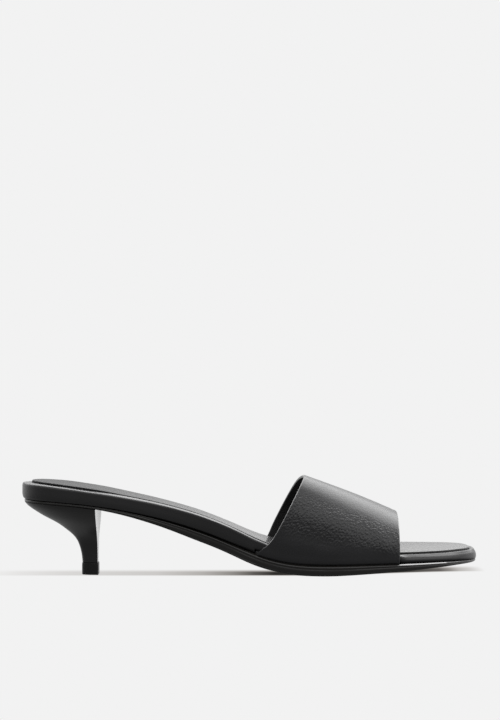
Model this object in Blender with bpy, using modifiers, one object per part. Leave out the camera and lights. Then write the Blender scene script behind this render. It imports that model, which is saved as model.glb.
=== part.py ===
"""A heeled sandal for the left foot: one wide strap over the forefoot, a wrapped footbed, a thin sole, a low heel.

Metres. The shoe is laid out from its heel end: s runs to the toe, y from the big toe's side (-) to the little
toe's side (+), z up from the floor. An empty then centres it: +X is the toe and the origin is on the floor.
"""

import math
from collections import namedtuple

import bmesh
import bpy

COLLECTION = "heeled_sandal"

# Last sizes: lengths and widths are the footbed's own.
LENGTH = 0.243
BALL_WIDTH = 0.076
WAIST_WIDTH = 0.0475
SEAT_WIDTH = 0.053

# Heights of the sole's upper face above the floor.
SEAT_LIFT = 0.0410
BALL_LIFT = 0.0088
TIP_LIFT = 0.0101

# Footbed: a board wrapped in leather, with a round shoulder.
WALL = 0.0085
SHOULDER_RISE = 0.0017
SHOULDER_RUN = 0.0034
DISH = 0.0020
OBLIQUE = 0.075  # how far the ball line runs forward on the little toe's side, as a slope

# Outsole.
EDGE = 0.0058
CROWN = 0.0036
WELT = 0.0024

# Strap.
STRAP_WALL = 0.0016
MARGIN = 0.0080
FOLD_RADIUS = 0.0010
STRAP_ROUNDING = 0.0007
TOE_OPENING = 0.0427
STRAP_AT_SEAM = 0.0751
STRAP_AT_RIM = 0.0683
STRAP_AT_RIDGE = 0.0494
OUTER_SETBACK = 0.0024
BACK_RISE = 0.0452
FRONT_RISE = 0.0251
RIDGE_SWELL = 0.0008
RIDGE_INWARD_FRONT = 0.080  # how far the ridge keeps to the big toe's side, as a share of BALL_WIDTH
RIDGE_INWARD_BACK = 0.105
INNER_SWEEP = 0.86  # powers that bend the strap's back edge between rim and ridge
OUTER_SWEEP = 1.08
OUTER_FULLNESS = 0.0035  # how much further back the edge lies on the outer side, close to the ridge

# Insole sock, in a shallow rebate of the footbed. It stands proud of the rim, but sinks level with it at the
# waist.
SOCK = 0.0013
SOCK_CHAMFER = 0.00025
SOCK_REBATE = 0.0008
WAIST_SINK = 0.0007
SOCK_MARGIN = 0.0038
SOCK_HEEL_MARGIN = 0.0052

# Heel.
BREAST = 0.0408
BREAST_HOLLOW = 0.0012
HEEL_MARGIN = 0.0013
PIN_DEPTH = 0.0085
PIN_WIDTH = 0.0092
TIP_HEIGHT = 0.0063
TIP_PROUD = 0.0001
TIP_ROUNDING = 0.0003

# Clearances between pieces.
GAP = 0.0003
RECESS_ROOM = 0.0005
RECESS_STEP = 0.0004

# Faceting.
STATIONS = 42
FILL_COLUMNS = 5
STRAP_ROWS = 12
EDGE_ROW = 0.0014  # first and last row of the strap, close to its cut edges
ARCH_STEPS = 10
HEEL_STEPS = 11

STRAP_FRONT = LENGTH - TOE_OPENING

# Plan of the footbed: place along the length, full width, and how far its middle lies outwards.
Plan = namedtuple("Plan", "along width centre")
PLAN = (
    Plan(0.00, 1.000 * SEAT_WIDTH, 0.042),
    Plan(0.15, 1.000 * SEAT_WIDTH, 0.042),
    Plan(0.25, 0.953 * SEAT_WIDTH, 0.050),
    Plan(0.34, 1.000 * WAIST_WIDTH, 0.059),
    Plan(0.41, 1.040 * WAIST_WIDTH, 0.064),
    Plan(0.48, 0.745 * BALL_WIDTH, 0.056),
    Plan(0.55, 0.865 * BALL_WIDTH, 0.036),
    Plan(0.63, 0.968 * BALL_WIDTH, 0.014),
    Plan(0.70, 1.000 * BALL_WIDTH, -0.003),
    Plan(0.78, 0.967 * BALL_WIDTH, -0.013),
    Plan(0.86, 0.908 * BALL_WIDTH, -0.020),
    Plan(0.94, 0.850 * BALL_WIDTH, -0.033),
    Plan(1.00, 0.800 * BALL_WIDTH, -0.080),
)
HEEL_CAP = 0.123  # share of the length that the round heel end takes
HEEL_CAP_POWER = 2.2
TOE_CAP = 0.225
TOE_CAP_POWER = 3.2
TOE_CAP_ROOT = 0.4

# Side of the shoe: shares of the lift of the heel and of the toe, then of WALL, SHOULDER_RISE, EDGE, CROWN,
# DISH and WELT.
Side = namedtuple("Side", "along heel toe wall shoulder edge crown dish welt")
SIDE = (
    Side(0.00, 1.000, 0.00, 1.00, 0.36, 0.24, 0.10, 0.25, -0.50),
    Side(0.05, 0.985, 0.00, 0.96, 0.40, 0.24, 0.10, 0.25, -0.50),
    Side(0.10, 0.960, 0.00, 0.89, 0.50, 0.24, 0.10, 0.25, -0.50),
    Side(0.16, 0.912, 0.00, 0.81, 0.58, 0.26, 0.12, 0.25, -0.50),
    Side(0.22, 0.840, 0.00, 0.80, 0.66, 0.38, 0.20, 0.25, -0.50),
    Side(0.30, 0.708, 0.00, 0.84, 0.60, 0.66, 0.32, 0.30, -0.45),
    Side(0.40, 0.482, 0.00, 0.91, 0.50, 1.00, 0.40, 0.40, -0.40),
    Side(0.46, 0.305, 0.00, 0.91, 0.50, 1.02, 0.50, 0.50, -0.10),
    Side(0.52, 0.120, 0.00, 0.84, 0.50, 1.03, 0.65, 0.65, 0.90),
    Side(0.57, 0.032, 0.00, 0.72, 0.50, 0.96, 0.82, 0.85, 1.00),
    Side(0.62, 0.002, 0.00, 0.68, 0.55, 1.00, 0.95, 1.00, 1.00),
    Side(0.67, 0.000, 0.06, 0.58, 0.60, 0.99, 1.00, 1.00, 1.00),
    Side(0.74, 0.000, 0.30, 0.49, 0.62, 0.86, 1.08, 0.90, 1.00),
    Side(0.82, 0.000, 0.55, 0.43, 0.65, 0.66, 1.10, 0.70, 1.00),
    Side(0.90, 0.000, 0.85, 0.40, 0.68, 0.47, 0.90, 0.40, 1.00),
    Side(0.95, 0.000, 0.95, 0.42, 0.70, 0.32, 0.60, 0.20, 0.50),
    Side(1.00, 0.000, 1.00, 0.47, 0.70, 0.17, 0.30, 0.00, -0.20),
)
END_FADE = 0.10  # share of the length over which dish and crown fade out at each end
WAIST_START = 0.15
WAIST_END = 0.74
WAIST_BLEND = 0.10
CROWN_POWER = 1.5

# Round side of the footbed, from the seam up: insets behind the strap and at the open toe, where the side is
# rounder, as shares of SHOULDER_RUN, then shares of the wall's and of the shoulder's height.
Step = namedtuple("Step", "inset toe_inset wall shoulder")
FOOTBED_STEPS = (
    Step(0.41, 0.41, 0.00, 0.00),
    Step(0.15, 0.15, 0.10, 0.00),
    Step(0.00, 0.04, 0.32, 0.00),
    Step(0.00, 0.16, 0.68, 0.00),
    Step(0.02, 0.34, 0.90, 0.00),
    Step(0.12, 0.52, 1.00, 0.12),
    Step(0.62, 0.80, 1.00, 0.72),
    Step(1.00, 1.00, 1.00, 1.00),
)
TOE_BLEND = 0.0040  # length over which the side turns from one shape into the other
TIP_BLEND = 0.0150  # length over which the shoulder gets shorter towards the tip
TIP_SHOULDER = 0.45  # what is left of SHOULDER_RUN at the tip

# Edge of the outsole from its upper face down: a rounded ledge, a groove and the side. Inset as a share of EDGE,
# and share of the edge's height.
SoleStep = namedtuple("SoleStep", "inset down")
OUTSOLE_STEPS = (
    SoleStep(0.32, 0.00),
    SoleStep(0.20, 0.10),
    SoleStep(0.05, 0.20),
    SoleStep(0.00, 0.31),
    SoleStep(0.05, 0.41),
    SoleStep(0.01, 0.52),
    SoleStep(0.00, 0.72),
    SoleStep(0.06, 0.90),
    SoleStep(0.20, 1.00),
)

# Heel block from the pin up: height share, where the back is as a share of BREAST, and the half width as a
# share of the way from the pin's to the seat's.
HeelRing = namedtuple("HeelRing", "height back spread")
HEEL_RINGS = (
    HeelRing(0.00, 0.788, 0.000),
    HeelRing(0.15, 0.776, 0.005),
    HeelRing(0.28, 0.752, 0.030),
    HeelRing(0.38, 0.722, 0.083),
    HeelRing(0.48, 0.665, 0.195),
    HeelRing(0.58, 0.571, 0.370),
    HeelRing(0.68, 0.455, 0.565),
    HeelRing(0.78, 0.290, 0.740),
    HeelRing(0.88, 0.150, 0.880),
    HeelRing(0.95, 0.070, 0.960),
    HeelRing(1.00, 0.032, 1.000),
)
PIN_POWER = 2.4
SEAT_SHAPE_FROM = 0.6  # height share from which the plan turns from the pin's into the seat's
HOLLOW_FROM = 0.4  # height share from which the breast is hollowed
BREAST_CORNER = 0.92  # share of the half width at which the breast's chamfered corner starts


def smooth_through(rows, column):
    """A function of the place along the length: a monotone cubic through one column of a table."""
    xs = [row.along for row in rows]
    ys = [getattr(row, column) for row in rows]
    runs = [b - a for a, b in zip(xs, xs[1:])]
    slopes = [(b - a) / run for a, b, run in zip(ys, ys[1:], runs)]
    tangents = [slopes[0]]
    for before, after in zip(slopes, slopes[1:]):
        same_way = before * after > 0
        tangents.append(2 * before * after / (before + after) if same_way else 0.0)
    tangents.append(slopes[-1])

    def value(along):
        along = min(max(along, xs[0]), xs[-1])
        i = min(sum(x <= along for x in xs[1:]), len(runs) - 1)
        t = (along - xs[i]) / runs[i]
        start = ys[i] * (1 + 2 * t) * (1 - t) ** 2 + tangents[i] * runs[i] * t * (1 - t) ** 2
        end = ys[i + 1] * (3 - 2 * t) * t**2 - tangents[i + 1] * runs[i] * (1 - t) * t**2
        return start + end

    return value


PLAN_OF = {column: smooth_through(PLAN, column) for column in ("width", "centre")}
SIDE_OF = {column: smooth_through(SIDE, column) for column in Side._fields[1:]}


def ease(t):
    """0 to 1 with level ends."""
    t = min(max(t, 0.0), 1.0)
    return t * t * (3 - 2 * t)


def centre(s):
    return PLAN_OF["centre"](s / LENGTH) * BALL_WIDTH


def half_width(s):
    along = min(max(s / LENGTH, 0.0), 1.0)
    half = PLAN_OF["width"](along) / 2
    if along < HEEL_CAP:
        half *= (1 - (1 - along / HEEL_CAP) ** HEEL_CAP_POWER) ** 0.5
    if along > 1 - TOE_CAP:
        into = (along - 1 + TOE_CAP) / TOE_CAP
        half *= max(1 - into**TOE_CAP_POWER, 0.0) ** TOE_CAP_ROOT
    return half


def rim_point(s, side, out):
    """The footbed's outline at s on one side (-1 or 1), moved out along its normal."""
    if s <= 0 or s >= LENGTH:
        return (s + out if s > 0 else s - out, centre(s))
    reach = min(LENGTH * 2e-4, s / 2, (LENGTH - s) / 2)
    near = centre(s - reach) + side * half_width(s - reach)
    far = centre(s + reach) + side * half_width(s + reach)
    slope = (far - near) / (2 * reach)
    size = math.hypot(slope, 1)
    return (s - side * slope * out / size, centre(s) + side * (half_width(s) + out / size))


def share(column, s):
    return SIDE_OF[column](s / LENGTH)


def inboard(s, y):
    """1 on the middle line, 0 on the outline and at both ends."""
    half = half_width(s)
    if half <= 0:
        return 0.0
    across = (y - centre(s)) / half
    ends = ease(s / (END_FADE * LENGTH)) * ease((LENGTH - s) / (END_FADE * LENGTH))
    return max(1 - across**2, 0.0) * ends


def lift(s, y):
    """Height of the sole's upper face along its edge. The ball line is oblique, so y counts too."""
    u = s + OBLIQUE * y
    heel = share("heel", u) * (SEAT_LIFT - BALL_LIFT)
    toe = share("toe", u) * (TIP_LIFT - BALL_LIFT)
    return BALL_LIFT + heel + toe


def sole_top(s, y):
    return lift(s, y) - DISH * share("dish", s) * inboard(s, y)


def sole_bottom(s, y):
    """The tread bulges down between its edges and is flat where it meets the floor."""
    edge = EDGE * share("edge", s)
    crown = CROWN * share("crown", s) * inboard(s, y) ** CROWN_POWER
    return max(lift(s, y) - edge - crown, 0.0)


def wall_height(s):
    return WALL * share("wall", s)


def shoulder_height(s):
    return SHOULDER_RISE * share("shoulder", s)


def footbed_top(s, y):
    return sole_top(s, y) + wall_height(s) + shoulder_height(s)


def sock_margin(s):
    """How far the sock keeps inside the outline: more round the heel end."""
    return SOCK_MARGIN + (SOCK_HEEL_MARGIN - SOCK_MARGIN) * (1 - ease(s / (HEEL_CAP * LENGTH)))


def waist(s):
    """1 between heel and strap, 0 under the heel and under the toes."""
    along = s / LENGTH
    rise = (along - WAIST_START) / WAIST_BLEND
    fall = (WAIST_END - along) / WAIST_BLEND
    return ease(rise) * ease(fall)


def sock_seat(s, y):
    return footbed_top(s, y) - SOCK_REBATE - WAIST_SINK * waist(s)


def stations(extra=()):
    """Places along the shoe, closest at its two round ends, with room made for any extra ones."""
    even = [LENGTH * (1 - math.cos(math.pi * i / STATIONS)) / 2 for i in range(STATIONS + 1)]
    apart = 5 * RECESS_STEP
    kept = [s for s in even if all(abs(s - other) > apart for other in extra)]
    return sorted(kept + list(extra))


def loft(name, places, rings, bottom, top):
    """A closed solid from rings round the shoe, bottom ring first. A ring is a pair of functions: how far out
    of the outline it lies at s, and its height at (station, s, y). bottom and top give the heights inside the
    first and the last ring."""
    mesh = bmesh.new()
    inner = places[1:-1]

    def add_ring(out, height):
        def put(station, side):
            s, y = rim_point(station, side, out(station))
            return mesh.verts.new((s, y, height(station, s, y)))

        outer_side = [put(station, 1) for station in inner]
        inner_side = [put(station, -1) for station in inner]
        heel, toe = put(places[0], 1), put(places[-1], 1)
        return [heel] + outer_side + [toe] + inner_side[::-1]

    made = [add_ring(out, height) for out, height in rings]
    around = len(made[0])
    for low, high in zip(made, made[1:]):
        for i in range(around):
            j = (i + 1) % around
            mesh.faces.new((low[i], low[j], high[j], high[i]))
    for ring, height in ((made[0], bottom), (made[-1], top)):
        fill(mesh, ring, len(inner), height)
    return finish(name, mesh)


def fill(mesh, ring, rows, height):
    """Crosses a ring with rows of faces from side to side, their inner points at height(s, y)."""
    heel, toe = ring[0], ring[rows + 1]
    lines = []
    for row in range(rows):
        a, b = ring[1 + row], ring[-1 - row]
        line = [a]
        for column in range(1, FILL_COLUMNS):
            point = a.co.lerp(b.co, column / FILL_COLUMNS)
            point.z = height(point.x, point.y)
            line.append(mesh.verts.new(point))
        lines.append(line + [b])
    for line, after in zip(lines, lines[1:]):
        for i in range(FILL_COLUMNS):
            mesh.faces.new((line[i], line[i + 1], after[i + 1], after[i]))
    for i in range(FILL_COLUMNS):
        mesh.faces.new((heel, lines[0][i], lines[0][i + 1]))
        mesh.faces.new((toe, lines[-1][i], lines[-1][i + 1]))


def finish(name, mesh):
    """Turns the faces outwards and makes the mesh an object of the shoe."""
    bmesh.ops.recalc_face_normals(mesh, faces=mesh.faces)
    data = bpy.data.meshes.new(name)
    mesh.to_mesh(data)
    mesh.free()
    data.shade_smooth()
    data.set_sharp_from_angle(angle=math.radians(40))
    return bpy.data.objects.new(name, data)


def outsole():
    def ring(step):
        def out(station):
            return WELT * share("welt", station) - step.inset * EDGE * share("edge", station)

        def height(station, s, y):
            upper, lower = sole_top(s, y), sole_bottom(s, y)
            return upper + (lower - upper) * step.down

        return out, height

    rings = [ring(step) for step in reversed(OUTSOLE_STEPS)]
    return loft("outsole", stations(), rings, sole_bottom, sole_top)


def footbed():
    """The board, with a recess under its rim where the strap is turned in."""
    start = STRAP_FRONT - STRAP_AT_SEAM - RECESS_ROOM
    end = STRAP_FRONT + RECESS_ROOM
    extra = (start - RECESS_STEP, start, end, end + RECESS_STEP)

    def underside(s, y):
        return sole_top(s, y) + GAP

    def recess(station):
        return STRAP_WALL + GAP if start <= station <= end else 0.0

    def under_ring(inset, recessed):
        def height(station, s, y):
            return underside(s, y) + (recess(station) if recessed else 0.0)

        return (lambda station: -inset), height

    def side_ring(step):
        def height(station, s, y):
            low = underside(s, y) + recess(station)
            rim = sole_top(s, y) + wall_height(s)
            return low + (rim - low) * step.wall + shoulder_height(s) * step.shoulder

        def out(station):
            toe = ease((station - end) / TOE_BLEND)
            run = SHOULDER_RUN * (1 - (1 - TIP_SHOULDER) * ease(1 - (LENGTH - station) / TIP_BLEND))
            return -(step.inset + (step.toe_inset - step.inset) * toe) * run

        return out, height

    def rebate_ring(extra_inset, surface):
        def out(station):
            return GAP - sock_margin(station) - extra_inset

        return out, lambda station, s, y: surface(s, y)

    depth = MARGIN + RECESS_ROOM
    rings = [under_ring(depth + RECESS_STEP, False), under_ring(depth, True)]
    rings += [side_ring(step) for step in FOOTBED_STEPS]
    rings += [rebate_ring(0.0, footbed_top), rebate_ring(GAP / 2, sock_seat)]
    return loft("footbed", stations(extra), rings, underside, sock_seat)


def insole_sock():
    """The leather sheet that the foot stands on."""

    def ring(extra_inset, up):
        def out(station):
            return -sock_margin(station) - GAP / 2 - extra_inset

        return out, lambda station, s, y: bottom(s, y) + up

    def bottom(s, y):
        return sock_seat(s, y) + GAP

    def top(s, y):
        return bottom(s, y) + SOCK

    rings = (ring(0.0, 0.0), ring(0.0, SOCK - SOCK_CHAMFER), ring(SOCK_CHAMFER, SOCK))
    return loft("insole_sock", stations(), rings, bottom, top)


def ridge(s):
    """Middle line of the strap's inner face, over the foot's ridge, on the big toe's side of the middle."""
    back = (STRAP_FRONT - s) / STRAP_AT_RIDGE
    inward = RIDGE_INWARD_FRONT + (RIDGE_INWARD_BACK - RIDGE_INWARD_FRONT) * back
    y = -inward * BALL_WIDTH
    swell = 4 * RIDGE_SWELL * back * (1 - back)
    rise = FRONT_RISE + (BACK_RISE - FRONT_RISE) * back + swell
    return y, lift(s, y) + rise - STRAP_WALL


def strap_path(side):
    """Places across the strap from its turned-in margin to the ridge. Each is (how long the strap is there,
    how far its front is set back, a function of s that gives the inner face's point)."""
    under = GAP + STRAP_WALL
    folded = under + FOLD_RADIUS
    rim = wall_height(STRAP_FRONT - STRAP_AT_RIM)
    path = []

    def reach_at(height):
        """The back edge slants over the footbed's side, from the seam to the rim."""
        return STRAP_AT_SEAM + (STRAP_AT_RIM - STRAP_AT_SEAM) * height / rim

    def low_point(out, above):
        def point(s):
            at, y = rim_point(s, side, out)
            return at, y, sole_top(at, y) + above(s)

        return point

    def arch_point(angle):
        def point(s):
            at, y_rim = rim_point(s, side, GAP)
            y_ridge, z_ridge = ridge(s)
            z_rim = lift(at, y_rim) + wall_height(s)
            y = y_ridge + (y_rim - y_ridge) * math.cos(angle)
            return s, y, z_rim + (z_ridge - z_rim) * math.sin(angle)

        return point

    for out in (-MARGIN, -MARGIN / 2):
        path.append((STRAP_AT_SEAM, 0.5, low_point(out, lambda s: under)))
    for turn in (0.0, 0.5, 1.0):
        angle = turn * math.pi / 2
        out = GAP - FOLD_RADIUS * (1 - math.sin(angle))
        up = FOLD_RADIUS * (1 - math.cos(angle))
        path.append((reach_at(folded * turn), 0.5, low_point(out, lambda s, up=up: under + up)))
    for rise in (0.5, 1.0):
        on_wall = low_point(GAP, lambda s, rise=rise: folded + (wall_height(s) - folded) * rise)
        path.append((reach_at(folded + (rim - folded) * rise), 0.5 + 0.5 * rise, on_wall))
    power = INNER_SWEEP if side < 0 else OUTER_SWEEP
    for step in range(1, ARCH_STEPS + 1):
        angle = step / ARCH_STEPS * math.pi / 2
        reach = STRAP_AT_RIM + (STRAP_AT_RIDGE - STRAP_AT_RIM) * math.sin(angle) ** power
        if side > 0:
            reach += OUTER_FULLNESS * math.cos(angle) * math.sin(angle) ** 4
        path.append((reach, math.cos(angle), arch_point(angle)))
    return path


def vamp_strap():
    """The strap's inner face as an open sheet, thickened outwards, with rounded cut edges."""
    mesh = bmesh.new()
    inner_side, outer_side = strap_path(-1), strap_path(1)
    across = [(0.0, *place) for place in inner_side]
    across += [(OUTER_SETBACK, *place) for place in outer_side[-2::-1]]
    grid = []
    for setback, reach, back_share, point in across:
        front = STRAP_FRONT - setback * back_share
        back = STRAP_FRONT - reach
        first, last = back + EDGE_ROW, front - EDGE_ROW
        places = [first + (last - first) * row / STRAP_ROWS for row in range(STRAP_ROWS + 1)]
        grid.append([mesh.verts.new(point(s)) for s in [back, *places, front]])
    for line, after in zip(grid, grid[1:]):
        for row in range(STRAP_ROWS + 2):
            mesh.faces.new((line[row], line[row + 1], after[row + 1], after[row]))
    strap = finish("vamp_strap", mesh)
    middle = strap.data.polygons[len(strap.data.polygons) // 2]
    wall = strap.modifiers.new("wall", "SOLIDIFY")
    wall.thickness = STRAP_WALL
    wall.offset = math.copysign(1, middle.normal.z)
    wall.use_even_offset = True
    edges = strap.modifiers.new("rounded edges", "BEVEL")
    edges.width = STRAP_ROUNDING
    edges.segments = 2
    edges.limit_method = "ANGLE"
    edges.angle_limit = math.radians(60)
    return strap


def heel_outline(back, half, seat_like, breast):
    """D-shaped outline: round at the back, flat at the breast. seat_like blends from the pin to the seat."""
    curve = []
    for step in range(HEEL_STEPS + 1):
        x = 1 - math.cos(step / HEEL_STEPS * math.pi / 2)
        pin = (1 - (1 - x) ** PIN_POWER) ** (1 / PIN_POWER)
        seat = half_width(x * BREAST) / half_width(BREAST)
        curve.append((back + (breast - back) * x, half * (pin + (seat - pin) * seat_like)))
    middle = centre(0)
    outer = [(s, middle + y) for s, y in curve]
    inner = [(s, middle - y) for s, y in curve[1:]]
    return outer, inner


def heel_block():
    """The leather-covered heel, from its pin to the seat, with a flat breast."""
    mesh = bmesh.new()
    foot = TIP_HEIGHT + GAP
    rings = []
    for row in HEEL_RINGS:
        pin_half = PIN_WIDTH / 2
        seat_half = half_width(BREAST) - HEEL_MARGIN
        half = pin_half + (seat_half - pin_half) * row.spread
        flare = (row.back - HEEL_RINGS[-1].back) / (HEEL_RINGS[0].back - HEEL_RINGS[-1].back)
        back = HEEL_MARGIN + (BREAST - PIN_DEPTH - HEEL_MARGIN) * flare
        hollow = BREAST_HOLLOW * ease((row.height - HOLLOW_FROM) / (1 - HOLLOW_FROM))
        seat_like = ease((row.height - SEAT_SHAPE_FROM) / (1 - SEAT_SHAPE_FROM))
        outer, inner = heel_outline(back, half, seat_like, BREAST)
        corner = half * BREAST_CORNER
        breast = []
        for column in range(FILL_COLUMNS + 1):
            across = 1 - 2 * column / FILL_COLUMNS
            breast.append((BREAST - hollow * (1 - across**2), centre(0) + corner * across))
        ring = outer + breast + inner[::-1]
        points = []
        for s, y in ring:
            seat = sole_bottom(s, y) - GAP
            points.append(mesh.verts.new((s, y, foot + (seat - foot) * row.height)))
        rings.append(points)
    around = len(rings[0])
    for low, high in zip(rings, rings[1:]):
        for i in range(around):
            j = (i + 1) % around
            mesh.faces.new((low[i], low[j], high[j], high[i]))
    cap_heel(mesh, rings[0], lambda s, y: foot)
    cap_heel(mesh, rings[-1], lambda s, y: sole_bottom(s, y) - GAP)
    return finish("heel_block", mesh)


def cap_heel(mesh, ring, height):
    """Closes a heel ring with rows of faces from side to side."""
    outer = ring[1 : HEEL_STEPS + 1]
    inner = ring[: -HEEL_STEPS - 1 : -1]
    breast = ring[HEEL_STEPS + 1 : -HEEL_STEPS]
    lines = []
    for a, b in zip(outer[:-1], inner[:-1]):
        line = [a]
        for column in range(1, FILL_COLUMNS):
            point = a.co.lerp(b.co, column / FILL_COLUMNS)
            point.z = height(point.x, point.y)
            line.append(mesh.verts.new(point))
        lines.append(line + [b])
    lines.append(breast)
    for line, after in zip(lines, lines[1:]):
        for i in range(FILL_COLUMNS):
            mesh.faces.new((line[i], line[i + 1], after[i + 1], after[i]))
    for i in range(FILL_COLUMNS):
        mesh.faces.new((ring[0], lines[0][i], lines[0][i + 1]))
    mesh.faces.new((outer[-2], outer[-1], breast[0]))
    mesh.faces.new((inner[-2], inner[-1], breast[-1]))


def heel_tip():
    """The hard lift that the heel stands on: the pin's outline, a little proud."""
    back = BREAST - PIN_DEPTH - TIP_PROUD
    half = PIN_WIDTH / 2 + TIP_PROUD
    outer, inner = heel_outline(back, half, 0.0, BREAST + TIP_PROUD)
    outline = outer + inner[::-1]
    curve = bpy.data.curves.new("heel_tip", "CURVE")
    curve.dimensions = "2D"
    curve.fill_mode = "BOTH"
    curve.extrude = TIP_HEIGHT / 2
    spline = curve.splines.new("POLY")
    spline.points.add(len(outline) - 1)
    for point, (s, y) in zip(spline.points, outline):
        point.co = (s, y, 0, 1)
    spline.use_cyclic_u = True
    tip = bpy.data.objects.new("heel_tip", curve)
    tip.location.z = TIP_HEIGHT / 2
    weld = tip.modifiers.new("welded caps", "WELD")
    weld.merge_threshold = 0.00001
    edges = tip.modifiers.new("rounded edges", "BEVEL")
    edges.width = TIP_ROUNDING
    edges.segments = 2
    edges.limit_method = "ANGLE"
    edges.angle_limit = math.radians(60)
    return tip


def material(name, colour, roughness):
    made = bpy.data.materials.new(name)
    made.use_nodes = True
    shader = made.node_tree.nodes["Principled BSDF"]
    shader.inputs["Base Color"].default_value = (*colour, 1)
    shader.inputs["Roughness"].default_value = roughness
    shader.inputs["Metallic"].default_value = 0.0
    return made


def middle_of_width():
    """The sole's middle between its two widest places, which the empty brings to y = 0."""
    edges = []
    for s in stations():
        out = WELT * share("welt", s)
        edges += [rim_point(s, -1, out)[1], rim_point(s, 1, out)[1]]
    return (min(edges) + max(edges)) / 2


def main():
    for old in list(bpy.data.objects):
        bpy.data.objects.remove(old, do_unlink=True)
    collection = bpy.data.collections.new(COLLECTION)
    bpy.context.scene.collection.children.link(collection)
    root = bpy.data.objects.new(COLLECTION + "_origin", None)
    root.location = (-LENGTH / 2, -middle_of_width(), 0)
    collection.objects.link(root)
    pieces = (
        (outsole(), "sole edge, black", (0.010, 0.010, 0.011), 0.38),
        (footbed(), "footbed leather, black", (0.012, 0.012, 0.013), 0.45),
        (insole_sock(), "sock leather, black", (0.014, 0.014, 0.015), 0.55),
        (vamp_strap(), "strap leather, black", (0.012, 0.012, 0.013), 0.42),
        (heel_block(), "heel cover leather, black", (0.010, 0.010, 0.011), 0.35),
        (heel_tip(), "hard rubber, black", (0.012, 0.012, 0.012), 0.50),
    )
    for piece, name, colour, roughness in pieces:
        piece.data.materials.append(material(name, colour, roughness))
        piece.parent = root
        collection.objects.link(piece)


main()
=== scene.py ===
# %% [markdown]
# A black leather sandal with one wide strap and a low heel, the left shoe of a pair. The solids of its parts
# are already built at their real size, and this notebook gives them their looks: soft edges, grain, gloss
# and light. Everything is in metres. +X is the toe, +Y the outer side, +Z up, and the floor is at z = 0.

# %% Load the solids
import math
from collections import namedtuple

import bpy
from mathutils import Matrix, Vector


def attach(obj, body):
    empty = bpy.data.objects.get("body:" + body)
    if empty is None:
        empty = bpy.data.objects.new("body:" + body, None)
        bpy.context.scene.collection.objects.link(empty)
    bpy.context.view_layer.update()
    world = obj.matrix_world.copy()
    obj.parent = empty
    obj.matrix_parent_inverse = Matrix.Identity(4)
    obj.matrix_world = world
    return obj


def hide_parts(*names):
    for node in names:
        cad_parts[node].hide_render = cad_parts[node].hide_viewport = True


MM = 0.001
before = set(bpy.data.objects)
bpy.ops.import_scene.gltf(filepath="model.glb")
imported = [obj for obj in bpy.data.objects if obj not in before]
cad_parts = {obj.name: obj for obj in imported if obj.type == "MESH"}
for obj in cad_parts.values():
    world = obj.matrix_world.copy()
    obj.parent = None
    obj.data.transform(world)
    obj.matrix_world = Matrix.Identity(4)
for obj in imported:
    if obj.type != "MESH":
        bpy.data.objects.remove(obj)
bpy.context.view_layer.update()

# %% [markdown]
# The picture was taken with a long lens, level with the floor line and a little above the shoe. A lens of
# 105 mm on a 36 mm sensor, 1.13 m away and 115 mm above the floor, gives the same narrow view of the insole.

# %% Camera
CAMERA_DISTANCE = 1.130
CAMERA_HEIGHT = 0.1153
CAMERA_SIDE = 0.001
LENS = 105.2  # in millimetres, as the sensor is
SENSOR = 36
VIEW_DEPTH = 50  # well beyond the backdrop

camera_data = bpy.data.cameras.new("camera")
camera_data.lens = LENS
camera_data.sensor_width = SENSOR
camera_data.clip_end = VIEW_DEPTH
camera = bpy.data.objects.new("camera", camera_data)
camera.location = (CAMERA_SIDE, -CAMERA_DISTANCE, CAMERA_HEIGHT)
camera.rotation_euler = (math.pi / 2, 0, 0)
bpy.context.scene.collection.objects.link(camera)
bpy.context.scene.camera = camera
bpy.context.scene.view_settings.view_transform = "Standard"
print("camera at", [round(value, 3) for value in camera.location])

# %% [markdown]
# A shader is a formula, so it is written as one. The class below wraps a node's output: adding, subtracting
# or multiplying it adds the Math node that does it. Every other node comes from one method, node, which
# takes the node's type, its settings and what goes into its sockets.


# %% Shader formulas
class Value:
    """An output of a node, which takes part in sums."""

    def __init__(self, graph, socket):
        self.graph = graph
        self.socket = socket

    def __add__(self, other):
        return self.graph.math("ADD", self, other)

    def __sub__(self, other):
        return self.graph.math("SUBTRACT", self, other)

    def __rsub__(self, other):
        return self.graph.math("SUBTRACT", other, self)

    def __mul__(self, other):
        return self.graph.math("MULTIPLY", self, other)

    __radd__ = __add__
    __rmul__ = __mul__


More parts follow.
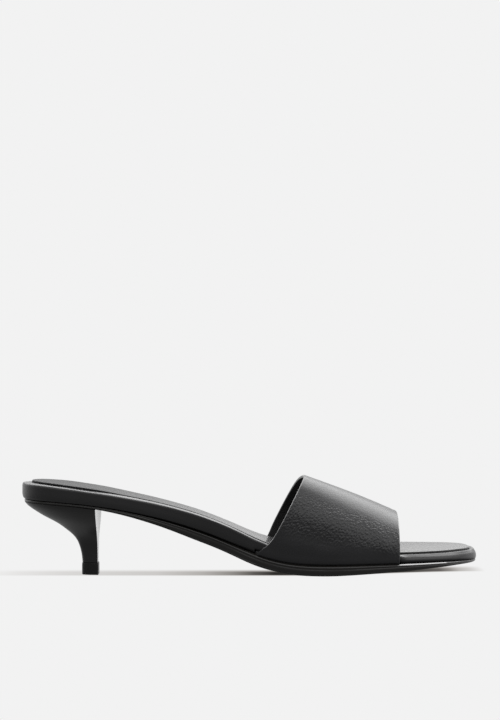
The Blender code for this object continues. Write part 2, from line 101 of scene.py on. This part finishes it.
class Graph:
    """The nodes of one material or world."""

    def __init__(self, tree):
        self.tree = tree

    def node(self, kind, settings=None, sockets=None, output=0):
        made = self.tree.nodes.new(kind)
        for name, setting in (settings or {}).items():
            if name == "stops":
                self.set_stops(made.color_ramp, setting)
            else:
                setattr(made, name, setting)
        self.fill(made, sockets or {})
        return Value(self, made.outputs[output])

    def fill(self, made, sockets):
        """Gives each socket its number, or its link."""
        for name, value in sockets.items():
            if isinstance(value, Value):
                self.tree.links.new(value.socket, made.inputs[name])
            else:
                made.inputs[name].default_value = value

    def set_stops(self, ramp, stops):
        """Stops are (position, grey) pairs."""
        while len(ramp.elements) < len(stops):
            ramp.elements.new(0.5)
        for element, (position, grey) in zip(ramp.elements, stops):
            element.position = position
            element.color = (grey, grey, grey, 1)

    def math(self, operation, first, second=0.0):
        return self.node("ShaderNodeMath", {"operation": operation}, {0: first, 1: second})

    def output(self, kind, surface):
        self.fill(self.tree.nodes.new(kind), {"Surface": surface})

    def axes(self, vector, *wanted):
        """The wanted parts of a vector: 0 runs along the shoe, 1 across it and 2 up."""
        return [self.node("ShaderNodeSeparateXYZ", sockets={0: vector}, output=axis) for axis in wanted]

    def place(self):
        """The point's place in metres, from the Object output of Texture Coordinate."""
        return self.node("ShaderNodeTexCoord", output=3)

    def step(self, value, low, high):
        """0 below low, 1 above high, and a soft rise between."""
        settings = {"interpolation_type": "SMOOTHSTEP"}
        return self.node("ShaderNodeMapRange", settings, {"Value": value, "From Min": low, "From Max": high})

    def noise(self, at, scale, detail=2.0, output=0):
        """Cloudy noise: output 0 is one number, and 1 is three at once."""
        sockets = {"Vector": at, "Scale": scale, "Detail": detail}
        return self.node("ShaderNodeTexNoise", sockets=sockets, output=output)

    def mix(self, share, first, second):
        """A colour between two. Sockets 6 and 7 of the Mix node are its pair of colours."""
        sockets = {0: share, 6: (*first, 1), 7: (*second, 1)}
        return self.node("ShaderNodeMix", {"data_type": "RGBA"}, sockets, output=2)


# %% [markdown]
# Black leather shows its surroundings more than itself, so the light is designed as what the shoe mirrors.
# An angle round the shoe's length says where each light stands: 0 degrees is the camera's side at floor
# height, 90 is overhead and 180 is behind. The camera's side is dim, a broad soft light hangs over the
# front, and a stronger one hangs over the back: it draws the white band along the strap's top. The room is
# turned a little, so that it is brighter past the toe, and a last light there brings out the toe's end.

# %% Light
SIDE_DIM = 0.24
SIDE_BRIGHT = 1.05
ROOM_RISE = (-0.95, 0.75)  # where the room brightens, from the camera's side to behind
ROOM_LEAN = 0.50  # how much the room also brightens upwards
TOE_BRIGHTER = 0.60  # how much the room also brightens from the heel's end to the toe's
FLOOR_SHADE = 0.85  # how much darker the room is below the horizon
FLOOR_RISE = (0.05, 0.45)
FRONT_LIGHT = 1.10
FRONT_FROM, FRONT_TO = 36, 70  # angles round the shoe's length, in degrees
BACK_LIGHT = 3.4
BACK_FROM, BACK_TO = 104, 154
LIGHT_BLUR = 9
LIGHT_REACH = (0.65, 0.85)  # where the two lights fade along the shoe, as the sine of their direction
TOE_LIGHT = 0.55
TOE_LIGHT_RISE = (0.80, 1.0)

world = bpy.data.worlds.new("studio")
world.use_nodes = True
world.node_tree.nodes.clear()
sky = Graph(world.node_tree)
direction = sky.node("ShaderNodeTexCoord")
along, away, up = sky.axes(direction, 0, 1, 2)
angle = sky.math("ARCTAN2", up, away * -1) * math.degrees(1)
reach = 1 - sky.step(sky.math("ABSOLUTE", along), *LIGHT_REACH)


def light_between(low, high):
    rise = sky.step(angle, low - LIGHT_BLUR, low + LIGHT_BLUR)
    fall = sky.step(angle, high - LIGHT_BLUR, high + LIGHT_BLUR)
    return rise * (1 - fall) * reach


above = 1 - sky.step(up * -1, *FLOOR_RISE) * FLOOR_SHADE
turn = away + up * ROOM_LEAN + along * TOE_BRIGHTER
room = sky.step(turn, *ROOM_RISE) * above * (SIDE_BRIGHT - SIDE_DIM) + SIDE_DIM
lights = light_between(FRONT_FROM, FRONT_TO) * FRONT_LIGHT + light_between(BACK_FROM, BACK_TO) * BACK_LIGHT
toe_light = sky.step(along, *TOE_LIGHT_RISE) * above * TOE_LIGHT
shine = sky.node("ShaderNodeBackground", sockets={"Strength": room + lights + toe_light})
sky.output("ShaderNodeOutputWorld", shine)
bpy.context.scene.world = world
print("world nodes:", len(world.node_tree.nodes))

# %% [markdown]
# The picture's ground is one flat pale grey from edge to edge, with a single thin shadow under the shoe, as
# a catalogue picture has it: cut out, and set on a painted shadow. So the paper and the floor glow evenly,
# and the floor carries the shadow as a soft stripe that is darkest near the ball of the foot.

# %% Stage
PAPER_GREY = 0.8879
STAGE_RADIUS = 9.0
FLOOR_DROP = 0.02 * MM  # keeps the floor just clear of the sole that stands on it
SHADOW_NEAR = (-0.008, 0.000)  # where the stripe begins, across the shoe
SHADOW_FAR = (0.010, 0.030)  # where it fades out again
SHADOW_TURN = (0.020, 0.125)  # between these places along the shoe, the stripe moves away from the camera
SHADOW_SHIFT = 0.023
SHADOW_WIDER = 0.001  # how much further the stripe reaches at the heel
SHADOW_ENDS = (-0.146, 0.130)
SHADOW_DEPTH = (  # how far along the stripe, and how dark it is there
    (0.00, 0.00),
    (0.08, 0.12),
    (0.17, 0.22),
    (0.35, 0.33),
    (0.44, 0.50),
    (0.50, 0.70),
    (0.54, 0.88),
    (0.58, 0.97),
    (0.82, 0.97),
    (0.87, 0.90),
    (0.91, 0.85),
    (0.93, 0.69),
    (0.95, 0.43),
    (0.97, 0.30),
    (1.00, 0.00),
)
SHADOW_WARMTH = (1.0, 0.93, 0.86)


def glow(name):
    """A material that only glows, with its graph."""
    material = bpy.data.materials.new(name)
    material.use_nodes = True
    material.node_tree.nodes.clear()
    return material, Graph(material.node_tree)


def deselect():
    if bpy.context.mode != "OBJECT":
        bpy.ops.object.mode_set(mode="OBJECT")
    bpy.ops.object.select_all(action="DESELECT")


deselect()
bpy.ops.mesh.primitive_circle_add(
    vertices=96, radius=STAGE_RADIUS, fill_type="NGON", location=(0, 0, -FLOOR_DROP)
)
floor = bpy.context.object
floor.name = "floor"
floor_paper, graph = glow("floor paper")
x, y = graph.axes(graph.place(), 0, 1)
start, end = SHADOW_ENDS
share = (x - start) * (1 / (end - start))
depth = graph.node("ShaderNodeValToRGB", {"stops": SHADOW_DEPTH}, {0: share})
turned = graph.step(x, *SHADOW_TURN)
across = y - turned * SHADOW_SHIFT
further = across - (1 - turned) * SHADOW_WIDER
shadow = graph.step(across, *SHADOW_NEAR) * (1 - graph.step(further, *SHADOW_FAR)) * depth
warm = graph.mix(shadow, (1, 1, 1), SHADOW_WARMTH)
light = graph.node("ShaderNodeEmission", sockets={"Color": warm, "Strength": (1 - shadow) * PAPER_GREY})
graph.output("ShaderNodeOutputMaterial", light)
floor.data.materials.append(floor_paper)

deselect()
bpy.ops.mesh.primitive_uv_sphere_add(segments=48, ring_count=24, radius=STAGE_RADIUS)
backdrop = bpy.context.object
backdrop.name = "backdrop"
back_paper, graph = glow("backdrop paper")
light = graph.node("ShaderNodeEmission", sockets={"Strength": PAPER_GREY})
graph.output("ShaderNodeOutputMaterial", light)
backdrop.data.materials.append(back_paper)
for paper in (floor, backdrop):
    for ray in ("diffuse", "glossy", "transmission", "shadow", "volume_scatter"):
        setattr(paper, f"visible_{ray}", False)
print("stage of", STAGE_RADIUS, "m radius")

# %% [markdown]
# A piece could be modelled afresh from a box and bent to the foot's shape. But the solids already have the
# last's true sections, so every piece of this shoe starts as a copy of its solid. The copy's loose triangles
# are merged and paired into four-sided faces, which subdivide evenly.

# %% Copies of the solids
SAME_POINT = 0.001 * MM
PAIR_UP_TO = math.radians(60)  # two triangles that bend less than this become one face


def copy_of(node, name):
    """A copy of a solid with its doubles merged and its triangles paired, left in object mode."""
    deselect()
    piece = bpy.data.objects.new(name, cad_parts[node].data.copy())
    bpy.context.scene.collection.objects.link(piece)
    piece.data.materials.clear()
    piece.select_set(True)
    bpy.context.view_layer.objects.active = piece
    if piece.data.has_custom_normals:
        bpy.ops.mesh.customdata_custom_splitnormals_clear()
    bpy.ops.object.mode_set(mode="EDIT")
    bpy.ops.mesh.select_all(action="SELECT")
    bpy.ops.mesh.remove_doubles(threshold=SAME_POINT)
    bpy.ops.mesh.tris_convert_to_quads(face_threshold=PAIR_UP_TO, shape_threshold=PAIR_UP_TO)
    bpy.ops.object.mode_set(mode="OBJECT")
    return piece


# %% [markdown]
# The solids keep 0.3 mm between them, but on the real shoe the leather is glued down on the sole. So the
# faces that look down into a seam are moved until only a hair is left. Faces are chosen by a test of their
# own place and direction, as one would pick them by eye.

# %% Closing the seams
SEAM_CLOSED = 0.26 * MM
LOOKS_DOWN = -0.7  # as a part of the face's normal, where -1 is straight down and 1 straight up


def within(value, ends):
    return ends[0] < value < ends[1]


def move_faces(piece, wanted, step):
    """Moves the faces that a test wants, and leaves the piece in object mode."""
    bpy.ops.object.mode_set(mode="EDIT")
    bpy.ops.mesh.select_mode(type="FACE")
    bpy.ops.mesh.select_all(action="DESELECT")
    bpy.ops.object.mode_set(mode="OBJECT")
    for face in piece.data.polygons:
        face.select = wanted(face)
    bpy.ops.object.mode_set(mode="EDIT")
    bpy.ops.transform.translate(value=step)
    bpy.ops.object.mode_set(mode="OBJECT")
    print(piece.name, "moved faces:", sum(face.select for face in piece.data.polygons))


def close_seam(piece, below=math.inf):
    """Lowers the faces that look down, under a height, so that the seam to the sole narrows to a hair."""

    def over_the_seam(face):
        return face.normal.z < LOOKS_DOWN and face.center.z < below

    move_faces(piece, over_the_seam, (0, 0, -SEAM_CLOSED))


# %% [markdown]
# A Subdivision Surface rounds the facets into one smooth skin. The skin lies a little inside its cage, so
# the piece would come out thinner than its solid. The cage is therefore pushed outwards first, a few times,
# each time by as much as the skin still misses. The push has a limit, because a cage that is pushed far at a
# tight corner folds over itself.

# %% Smooth skins
FITS = 4  # how many times the cage is corrected


def subdivide(piece, levels, push=0.30 * MM):
    """Smooths a piece, and pushes its cage's points outwards, by push at most, until the skin passes through
    where they were."""
    skin = piece.modifiers.new("skin", "SUBSURF")
    skin.levels = levels
    skin.render_levels = levels
    wanted = [(vertex.co.copy(), vertex.normal.copy()) for vertex in piece.data.vertices]
    pushed = [0.0] * len(wanted)
    for _ in range(FITS):
        smooth = piece.evaluated_get(bpy.context.evaluated_depsgraph_get()).data
        missed = [(place - smooth.vertices[i].co).dot(normal) for i, (place, normal) in enumerate(wanted)]
        pushed = [max(-push, min(push, old + miss)) for old, miss in zip(pushed, missed)]
        for vertex, (place, normal), out in zip(piece.data.vertices, wanted, pushed):
            vertex.co = place + normal * out
        piece.data.update()
    print(piece.name, "missed by", round(max(abs(miss) for miss in missed) / MM, 2), "mm at most")
    bpy.context.view_layer.objects.active = piece
    bpy.ops.object.modifier_apply(modifier="skin")
    bpy.ops.object.shade_smooth()


# %% [markdown]
# A finished piece takes its material, rides on the shoe's one body and takes the place of its solid.


# %% Settling a piece
def settle(piece, node, material):
    """Gives a piece its material and its place on the shoe."""
    piece.data.materials.clear()
    piece.data.materials.append(material)
    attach(piece, "root")
    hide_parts(node)
    triangles = sum(len(face.vertices) - 2 for face in piece.data.polygons)
    print(piece.name, triangles, "triangles")


# %% [markdown]
# Black leather is hardly a colour: what shows is its gloss. The strap's hide has a fine pebble grain, cells
# about a millimetre across with soft furrows between them, over a slower waviness. The grain is bump, and
# the furrows are a touch rougher than the polished tops. In every finish the pebbles' tops are also painted
# a little paler than the furrows, which is painted shade in the furrows. Towards the strap's top and foot
# the hide was stretched over the last, so the grain fades out there.

# %% Grain
Fade = namedtuple("Fade", "slope low high")  # a rise between two heights, which lean along the shoe by slope
GRAIN_TOP = Fade(0.38, 0.0520, 0.0580)
GRAIN_FOOT = Fade(0.216, 0.0275, 0.0340)
GRAIN_LEFT = 0.15  # how much of the grain is left where the hide was stretched
GRAIN_LEAN = 62  # degrees from the shoe's length at which the pebbles are stretched
GRAIN_STRETCH = 1.45
WANDER = 0.8  # how far the pebbles wander out of line, in cells
WANDER_TURNS = 0.35  # turns of the wander to a cell
PEBBLE_ROUND = 0.12  # how far neighbouring pebbles run into each other
PEBBLE_SIDE = (0.10, 0.80)  # from a pebble's top to its furrow, in cells
PEBBLE_SHARE = 0.75  # the rest of the grain is finer bumps
FINE_BUMPS = 3.2  # to a cell
SLOW_WAVES = 0.16  # to a cell


def grain_band(graph, at):
    """1 over the strap's middle, falling towards its top and its foot."""
    x, z = graph.axes(at, 0, 2)
    top = graph.step(x * GRAIN_TOP.slope + z, GRAIN_TOP.low, GRAIN_TOP.high)
    foot = graph.step(x * GRAIN_FOOT.slope + z, GRAIN_FOOT.low, GRAIN_FOOT.high)
    return (1 - top) * foot * (1 - GRAIN_LEFT) + GRAIN_LEFT


def pebbles(graph, at, cell):
    """1 on top of each pebble and 0 in the furrows."""
    wander = graph.noise(at, WANDER_TURNS / cell, detail=1.0, output=1)
    moved = graph.node(
        "ShaderNodeVectorMath", {"operation": "MULTIPLY_ADD"}, {0: wander, 1: (cell * WANDER,) * 3, 2: at}
    )
    lean = (0, -math.radians(GRAIN_LEAN), 0)
    leaning = graph.node(
        "ShaderNodeMapping",
        {"vector_type": "TEXTURE"},
        {"Vector": moved, "Rotation": lean, "Scale": (GRAIN_STRETCH, 1, 1)},
    )
    sockets = {"Vector": leaning, "Scale": 1 / cell, "Smoothness": PEBBLE_ROUND}
    from_top = graph.node("ShaderNodeTexVoronoi", {"feature": "SMOOTH_F1"}, sockets)
    return 1 - graph.step(from_top, *PEBBLE_SIDE)


# %% [markdown]
# One function makes every black finish of the shoe, from the pebbled hide to the rubber, because they differ
# only in numbers. The thin dressing on top of a hide is the shader's coat. A coat with a high index mirrors
# as strongly as lacquer does.

# %% Leather
PATCHES = 45.0  # to a metre, places where the finish is a little paler and rougher
PALER = 1.9  # how much lighter the palest leather is than the darkest, in the random patches and in the painted light on the pebbles' tops
PALER_PATCH = 0.5  # a patch's share of the paler colour
PEBBLE_PAINTED_LIGHT = 0.2  # a pebble top's share of it: painted light on the tops, painted shade in the furrows
ROUGHER_FURROW = 0.08
ROUGHER_PATCH = 0.10


def leather(
    name,
    colour,
    roughness,
    cell,
    depth,
    wave,
    coat=0.0,
    coat_roughness=0.2,
    coat_ior=1.5,
    specular=0.5,
    banded=False,
):
    """A grained black material. cell is the grain's size and depth its height, both in metres, and wave is
    the height of the slow waves over the grain's. A banded grain keeps to the strap's middle."""
    material = bpy.data.materials.new(name)
    material.use_nodes = True
    graph = Graph(material.node_tree)
    at = graph.place()
    pebble = pebbles(graph, at, cell)
    fine = pebble * PEBBLE_SHARE + graph.noise(at, FINE_BUMPS / cell) * (1 - PEBBLE_SHARE)
    if banded:
        fine = fine * grain_band(graph, at)
    height = fine + graph.noise(at, SLOW_WAVES / cell) * wave
    patch = graph.noise(at, PATCHES, detail=3.0)
    pale_patch_and_pebble_light = tuple(part * PALER for part in colour)
    bump = {"Strength": 1.0, "Distance": depth, "Height": height}
    sockets = {
        # the colour is paler in random patches, and painted paler on the pebbles' tops, which is painted
        # shade in the furrows
        "Base Color": graph.mix(patch * PALER_PATCH + pebble * PEBBLE_PAINTED_LIGHT, colour, pale_patch_and_pebble_light),
        "Roughness": (1 - pebble) * ROUGHER_FURROW + (patch - 0.5) * ROUGHER_PATCH + roughness,
        "Normal": graph.node("ShaderNodeBump", sockets=bump),
        "Coat Weight": coat,
        "Coat Roughness": coat_roughness,
        "Coat IOR": coat_ior,
        "Specular IOR Level": specular,
    }
    graph.fill(material.node_tree.nodes["Principled BSDF"], sockets)
    return material


# %% [markdown]
# The strap is one sheet that runs from under the sole, over the foot and back. The hide was pulled over the
# last, so it swells and sinks a little. Such shallow forms could be sculpted, but a short table is easier to
# change: each row is a soft trough or ridge along a short line, seen from the side, and its rise is how far
# it moves the leather out.

# %% Folds of the strap
Fold = namedtuple("Fold", "x z to_x to_z width rise")
FOLDS = (
    Fold(0.024, 0.0270, 0.040, 0.0215, 0.0060, -0.00045),
    Fold(0.040, 0.0215, 0.058, 0.0200, 0.0050, -0.00025),
    Fold(0.020, 0.0190, 0.045, 0.0150, 0.0040, 0.00020),
    Fold(0.034, 0.0330, 0.052, 0.0290, 0.0060, 0.00025),
    Fold(0.067, 0.0270, 0.072, 0.0180, 0.0030, 0.00020),
)
STRAP_AXIS = Vector((0.0, -0.007, 0.012))  # the middle of the tunnel that the foot goes through


def outwards(point):
    """The way out of the strap's tunnel at a point."""
    return Vector((0, point.y - STRAP_AXIS.y, point.z - STRAP_AXIS.z)).normalized()


def press_folds(piece):
    """Moves both faces of the strap in or out around each fold's line."""
    for vertex in piece.data.vertices:
        here = Vector((vertex.co.x, vertex.co.z))
        move = 0.0
        for fold in FOLDS:
            start, end = Vector((fold.x, fold.z)), Vector((fold.to_x, fold.to_z))
            run = end - start
            share = min(max((here - start).dot(run) / run.length_squared, 0), 1)
            away = (here - start - run * share).length / fold.width
            move += fold.rise * math.exp(-away * away)
        vertex.co += outwards(vertex.co) * move


# %% [markdown]
# The strap has three finishes: the pebbled hide outside, a plain lining inside, and the cut edges, painted
# and glossy where they stand free. They could be three pieces, but each face of a mesh can have its own
# material, so the strap stays one sheet. Where it turns in under the footbed it is pressed down onto the
# sole's ledge.

# %% Strap
TURN_SLOPE = (-0.95, -0.25)  # how far its faces look down
TURN_TOP = 0.020
TURN_DROP = 0.60 * MM  # how far the turn under the footbed reaches down to the sole's ledge
LINING_SLOPE = -0.6  # the lining looks into the tunnel
EDGE_SLOPE = (0.60, 0.95)  # how far the round edge looks to the toe or the heel
EDGE_FROM = 0.020  # the height from which the edge is painted


def paint(piece, material, wanted):
    """Adds one more material, and gives it to the faces that a test wants."""
    piece.data.materials.append(material)
    for face in piece.data.polygons:
        if wanted(face):
            face.material_index = len(piece.data.materials) - 1


def in_turn(face):
    return within(face.normal.z, TURN_SLOPE) and face.center.z < TURN_TOP


def on_lining(face):
    return face.normal.dot(outwards(face.center)) < LINING_SLOPE


def on_edge(face):
    return within(abs(face.normal.x), EDGE_SLOPE) and face.center.z > EDGE_FROM


strap_leather = leather(
    "strap leather",
    colour=(0.0125, 0.0125, 0.0137),
    roughness=0.32,
    cell=1.05 * MM,
    depth=0.290 * MM,
    wave=0.3,
    coat=0.15,
    banded=True,
)
lining_leather = leather(
    "strap lining",
    colour=(0.0260, 0.0255, 0.0255),
    roughness=0.60,
    cell=0.70 * MM,
    depth=0.050 * MM,
    wave=0.5,
)
edge_paint = leather(
    "strap edge",
    colour=(0.0125, 0.0125, 0.0130),
    roughness=0.30,
    cell=0.80 * MM,
    depth=0.006 * MM,
    wave=0.9,
    coat=1.0,
    coat_roughness=0.20,
    coat_ior=2.0,
)
strap = copy_of("vamp_strap", "strap")
close_seam(strap, below=TURN_TOP)
move_faces(strap, in_turn, (0, 0, -TURN_DROP))
subdivide(strap, levels=2)
press_folds(strap)
settle(strap, "vamp_strap", strap_leather)
paint(strap, lining_leather, on_lining)
paint(strap, edge_paint, on_edge)

# %% [markdown]
# The footbed is a board wrapped in smooth leather, and the strap disappears into a recess under its rim. The
# recess's two ends are moved up to the strap's edges, because moving the strap would change the shoe's
# outline. Corners that should stay crisp get a crease before the piece is smoothed.

# %% Footbed
STRAP_ENDS = (-0.010, 0.085)
RECESS_SLOPE = 0.8  # the recess's ends face the strap nearly squarely
RECESS_CLOSED = 0.35 * MM


def crease(piece, sharper_than=50):
    """Creases the edges that bend by more than an angle in degrees, so that they stay crisp."""
    bpy.ops.object.mode_set(mode="EDIT")
    bpy.ops.mesh.select_mode(type="EDGE")
    bpy.ops.mesh.select_all(action="DESELECT")
    bpy.ops.mesh.edges_select_sharp(sharpness=math.radians(sharper_than))
    bpy.ops.transform.edge_crease(value=1.0)
    bpy.ops.object.mode_set(mode="OBJECT")
    count = sum(edge.select for edge in piece.data.edges)
    print(piece.name, "creased edges:", count)


def recess_end(way):
    """A test for the recess's end that looks one way along the shoe: 1 is the toe and -1 the heel."""
    return lambda face: face.normal.x * way > RECESS_SLOPE and within(face.center.x, STRAP_ENDS)


wrap_leather = leather(
    "footbed leather",
    colour=(0.0120, 0.0118, 0.0125),
    roughness=0.34,
    cell=0.60 * MM,
    depth=0.018 * MM,
    wave=1.2,
    coat=0.3,
)
footbed = copy_of("footbed", "footbed_wrap")
close_seam(footbed)
for way in (1, -1):
    move_faces(footbed, recess_end(way), (way * RECESS_CLOSED, 0, 0))
crease(footbed)
subdivide(footbed, levels=2)
settle(footbed, "footbed", wrap_leather)

# %% [markdown]
# The sock is the sheet that the foot stands on, leather on a thin foam. A cloth simulation could swell it,
# but a third of a millimetre of foam is no more than a lift of its top before it is smoothed. A fine bevel
# rounds its cut edge. Its finish is dull under the heel and glossier towards the toe.

# %% Sock
SOCK_CUSHION = 0.35 * MM  # how much the foam swells the sock
SOCK_GLOSS = 0.85
SOCK_GLOSS_RISE = (-0.110, 0.040)  # places along the shoe
LOOKS_UP = 0.7
SOFT_EDGE = 0.15 * MM
SOFT_FROM = math.radians(40)


def soften(piece):
    """Rounds the crisp edges by a hair, so that they catch light."""
    edges = piece.modifiers.new("edges", "BEVEL")
    edges.width = SOFT_EDGE
    edges.segments = 2
    edges.angle_limit = SOFT_FROM
    bpy.ops.object.modifier_apply(modifier="edges")


sock_leather = leather(
    "sock leather",
    colour=(0.0100, 0.0100, 0.0105),
    roughness=0.50,
    cell=0.50 * MM,
    depth=0.012 * MM,
    wave=1.0,
    coat_roughness=0.18,
    specular=0.27,
)
graph = Graph(sock_leather.node_tree)
(x,) = graph.axes(graph.place(), 0)
gloss = graph.step(x, *SOCK_GLOSS_RISE) * SOCK_GLOSS
graph.fill(sock_leather.node_tree.nodes["Principled BSDF"], {"Coat Weight": gloss})

sock = copy_of("insole_sock", "sock")
move_faces(sock, lambda face: face.normal.z > LOOKS_UP, (0, 0, SOCK_CUSHION))
crease(sock)
subdivide(sock, levels=2)
soften(sock)
settle(sock, "insole_sock", sock_leather)

# %% [markdown]
# The sole's edge is painted, its tread is dull, and the ledge that stands out round the open toe is
# lacquered: it is the bright line under the toe. The three finishes go on the faces of one mesh, by their
# slope, because the sole is one piece.

# %% Outsole
TREAD_SLOPE = -0.80
LEDGE_SLOPE = (0.50, 0.97)
LEDGE_ENDS = (0.077, 0.103)  # from the strap's front to the round of the toe


def on_ledge(face):
    return within(face.normal.z, LEDGE_SLOPE) and within(face.center.x, LEDGE_ENDS)


def on_tread(face):
    return face.normal.z < TREAD_SLOPE


sole_paint = leather(
    "sole edge",
    colour=(0.0070, 0.0062, 0.0055),
    roughness=0.30,
    cell=0.80 * MM,
    depth=0.010 * MM,
    wave=0.9,
    coat=0.35,
    coat_roughness=0.12,
)
lacquer = leather(
    "lacquer",
    colour=(0.0100, 0.0098, 0.0095),
    roughness=0.25,
    cell=0.80 * MM,
    depth=0.006 * MM,
    wave=0.9,
    coat=1.0,
    coat_roughness=0.15,
    coat_ior=2.4,
)
tread = leather(
    "tread",
    colour=(0.0100, 0.0098, 0.0092),
    roughness=0.90,
    cell=0.80 * MM,
    depth=0.020 * MM,
    wave=0.9,
    specular=0.15,
)
outsole = copy_of("outsole", "sole")
subdivide(outsole, levels=2, push=0.15 * MM)
settle(outsole, "outsole", sole_paint)
paint(outsole, lacquer, on_ledge)
paint(outsole, tread, on_tread)

# %% [markdown]
# The heel is a solid core with leather drawn over it. Its flat front, the breast, is seen nearly edge on and
# shows as a white strip in the picture, so it is lacquered as the ledge is. Its solid has few facets for
# such strong curves, so it is smoothed one level further than the other pieces.

# %% Heel
BREAST_SLOPE = 0.85

heel_leather = leather(
    "heel leather",
    colour=(0.0060, 0.0058, 0.0060),
    roughness=0.30,
    cell=0.60 * MM,
    depth=0.010 * MM,
    wave=1.0,
    coat=0.5,
    coat_roughness=0.30,
)
heel = copy_of("heel_block", "heel_cover")
crease(heel)
subdivide(heel, levels=3)
soften(heel)
settle(heel, "heel_block", heel_leather)
paint(heel, lacquer, lambda face: face.normal.x > BREAST_SLOPE)

# %% [markdown]
# The lift is the small piece of hard rubber that meets the ground. Here edges that bend by as little as 25
# degrees are creased too, so that its plan stays a crisp D.

# %% Heel tip
hard_rubber = leather(
    "hard rubber",
    colour=(0.0045, 0.0044, 0.0041),
    roughness=0.40,
    cell=0.45 * MM,
    depth=0.010 * MM,
    wave=0.6,
)
tip = copy_of("heel_tip", "heel_lift")
crease(tip, sharper_than=25)
subdivide(tip, levels=2, push=0.20 * MM)
soften(tip)
settle(tip, "heel_tip", hard_rubber)
print("materials:", len(bpy.data.materials))
